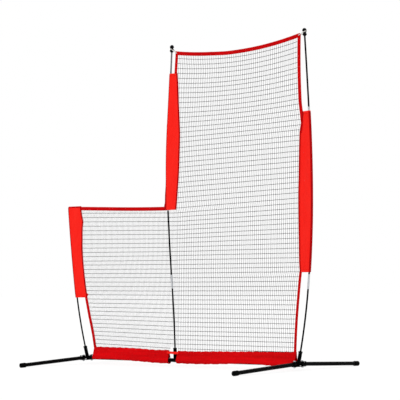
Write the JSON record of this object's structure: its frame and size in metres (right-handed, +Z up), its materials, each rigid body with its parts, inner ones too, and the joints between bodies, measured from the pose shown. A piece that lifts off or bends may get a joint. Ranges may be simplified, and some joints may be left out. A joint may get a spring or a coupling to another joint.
{
  "type": "pitching target net",
  "caption": "Free-standing net with a tall panel and a low panel on bowed poles over a crossbar with folding legs.",
  "frame": {"origin": "on the floor, under the middle of the net's overall width, in the plane of the poles", "axes": "+Z up, +X along the crossbar towards the tall panel, +Y towards the back, where the netting lies"},
  "size_m": [2.1554, 1.26, 2.1395],
  "materials": {
    "frame_steel": "black powder coat, satin",
    "liner_nylon": "moulded black nylon",
    "cap_rubber": "black moulded rubber, matt",
    "zinc": "bright zinc plate",
    "spring_steel": "blued spring steel",
    "pole_glass_fibre": "black pultruded glass fibre, satin",
    "ferrule_aluminium": "drawn aluminium, satin",
    "shock_cord": "braided elastic cord",
    "cap_plastic": "black moulded plastic, satin",
    "netting": "knotted black polyester twine",
    "sleeve_fabric": "bright red woven polyester",
    "binding_tape": "red woven polyester tape",
    "hem_fabric": "red woven polyester, gathered",
    "elastic": "pale braided elastic"
  },
  "bodies": {
    "base": {"left_hub": "frame_steel", "centre_hub": "frame_steel", "right_hub": "frame_steel", "left_crossbar": "frame_steel", "right_crossbar": "frame_steel", "socket_liners": "liner_nylon", "leg_pivot_bolts": "zinc", "leg_pivot_nuts": "zinc", "left_button_spring": "spring_steel", "centre_left_button_spring": "spring_steel", "centre_right_button_spring": "spring_steel", "right_button_spring": "spring_steel", "right_pole_section_1": "pole_glass_fibre", "right_pole_section_2": "pole_glass_fibre", "right_pole_section_3": "pole_glass_fibre", "right_pole_section_4": "pole_glass_fibre", "centre_pole_section_1": "pole_glass_fibre", "centre_pole_section_2": "pole_glass_fibre", "centre_pole_section_3": "pole_glass_fibre", "centre_pole_section_4": "pole_glass_fibre", "left_pole_section_1": "pole_glass_fibre", "left_pole_section_2": "pole_glass_fibre", "right_ferrules": "ferrule_aluminium", "centre_ferrules": "ferrule_aluminium", "left_ferrule": "ferrule_aluminium", "pole_shock_cords": "shock_cord", "right_ball_cap": "cap_plastic", "centre_ball_cap": "cap_plastic", "left_pole_tip": "cap_rubber", "tall_netting": "netting", "low_netting": "netting", "right_sleeve": "sleeve_fabric", "centre_sleeve": "sleeve_fabric", "left_sleeve": "sleeve_fabric", "left_hem": "hem_fabric", "right_hem": "hem_fabric", "hem_strap": "sleeve_fabric", "tall_top_binding": "binding_tape", "tall_right_binding": "binding_tape", "tall_left_binding": "binding_tape", "low_top_binding": "binding_tape", "right_lower_binding": "binding_tape", "left_lower_binding": "binding_tape", "right_elastic_loop": "elastic", "centre_elastic_loop": "elastic", "corner_grommets": "zinc"},
    "left_front_leg": {"left_front_leg": "frame_steel", "left_front_cap": "cap_rubber"},
    "left_back_leg": {"left_back_leg": "frame_steel", "left_back_cap": "cap_rubber"},
    "right_front_leg": {"right_front_leg": "frame_steel", "right_front_cap": "cap_rubber"},
    "right_back_leg": {"right_back_leg": "frame_steel", "right_back_cap": "cap_rubber"},
    "left_button": {"left_button": "zinc"},
    "centre_left_button": {"centre_left_button": "zinc"},
    "centre_right_button": {"centre_right_button": "zinc"},
    "right_button": {"right_button": "zinc"}
  },
  "joints": [
    {"name": "left_front_leg_fold", "type": "hinge", "parent": "base", "child": "left_front_leg", "pos_m": [-0.90429, -0.04, 0.041], "axis": [0, 0, 1], "range_deg": [0, 90]},
    {"name": "left_back_leg_fold", "type": "hinge", "parent": "base", "child": "left_back_leg", "pos_m": [-0.90429, 0.04, 0.041], "axis": [0, 0, -1], "range_deg": [0, 90]},
    {"name": "right_front_leg_fold", "type": "hinge", "parent": "base", "child": "right_front_leg", "pos_m": [0.94571, -0.04, 0.041], "axis": [0, 0, -1], "range_deg": [0, 90]},
    {"name": "right_back_leg_fold", "type": "hinge", "parent": "base", "child": "right_back_leg", "pos_m": [0.94571, 0.04, 0.041], "axis": [0, 0, 1], "range_deg": [0, 90]},
    {"name": "left_button_press", "type": "slide", "parent": "base", "child": "left_button", "axis": [0, 0, -1], "range_m": [0, 0.005], "stiffness_N_per_m": 1200, "springref_m": -0.001, "deforming": ["left_button_spring"]},
    {"name": "centre_left_button_press", "type": "slide", "parent": "base", "child": "centre_left_button", "axis": [0, 0, -1], "range_m": [0, 0.005], "stiffness_N_per_m": 1200, "springref_m": -0.001, "deforming": ["centre_left_button_spring"]},
    {"name": "centre_right_button_press", "type": "slide", "parent": "base", "child": "centre_right_button", "axis": [0, 0, -1], "range_m": [0, 0.005], "stiffness_N_per_m": 1200, "springref_m": -0.001, "deforming": ["centre_right_button_spring"]},
    {"name": "right_button_press", "type": "slide", "parent": "base", "child": "right_button", "axis": [0, 0, -1], "range_m": [0, 0.005], "stiffness_N_per_m": 1200, "springref_m": -0.001, "deforming": ["right_button_spring"]}
  ]
}
